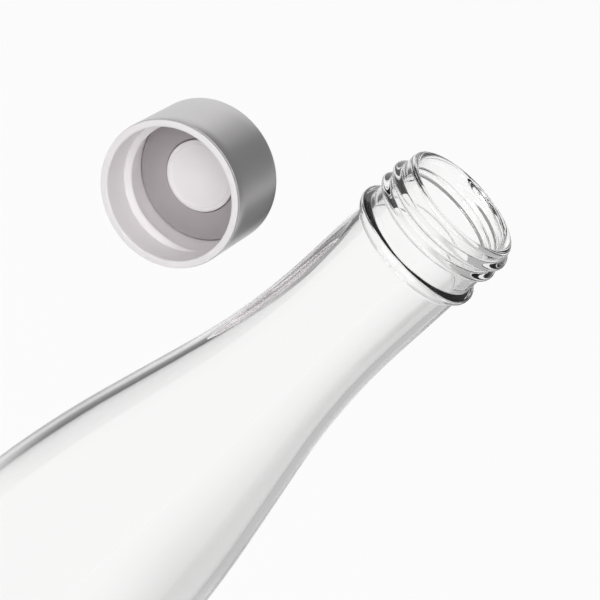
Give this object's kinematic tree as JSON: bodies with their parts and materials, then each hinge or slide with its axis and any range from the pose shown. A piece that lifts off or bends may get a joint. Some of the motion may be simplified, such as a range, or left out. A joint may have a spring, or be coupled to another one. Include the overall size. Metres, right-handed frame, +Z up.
{
  "type": "glass soda bottle",
  "caption": "Clear glass soda bottle with a screw-thread neck, shown open: its steel-clad screw cap, with threaded white insert and grey seal ring, lies off beside the neck.",
  "frame": {"origin": "middle of the bottle's standing ring, on the bottle's axis, in the plane that it stands on", "axes": "+Z up the bottle's axis to the mouth, -Y the side that the open end of the loose cap faces, -X the side of the neck on which the cap lies"},
  "size_m": [0.1198, 0.102, 0.27],
  "materials": {
    "glass_bottle": "clear colourless moulded glass, fire-polished",
    "cap_shell": "thin drawn stainless steel, satin",
    "cap_insert": "white moulded plastic, satin",
    "seal_ring": "grey silicone, matt"
  },
  "bodies": {
    "bottle": {"glass_bottle": "glass_bottle"},
    "seal": {"seal_ring": "seal_ring"},
    "cap": {"cap_shell": "cap_shell", "cap_insert": "cap_insert"}
  },
  "joints": [
    {"name": "cap_swing", "type": "hinge", "parent": "bottle", "child": "seal", "pos_m": [-0.05924, -0.02952, 0.25087], "axis": [0.7321, -0.4567, -0.5054], "range_deg": [0, 101.97]},
    {"name": "cap_turn", "type": "hinge", "parent": "seal", "child": "cap", "pos_m": [-0.0597, 0.036, 0.191], "axis": [0, 0.9949, 0.1011], "continuous": true}
  ]
}
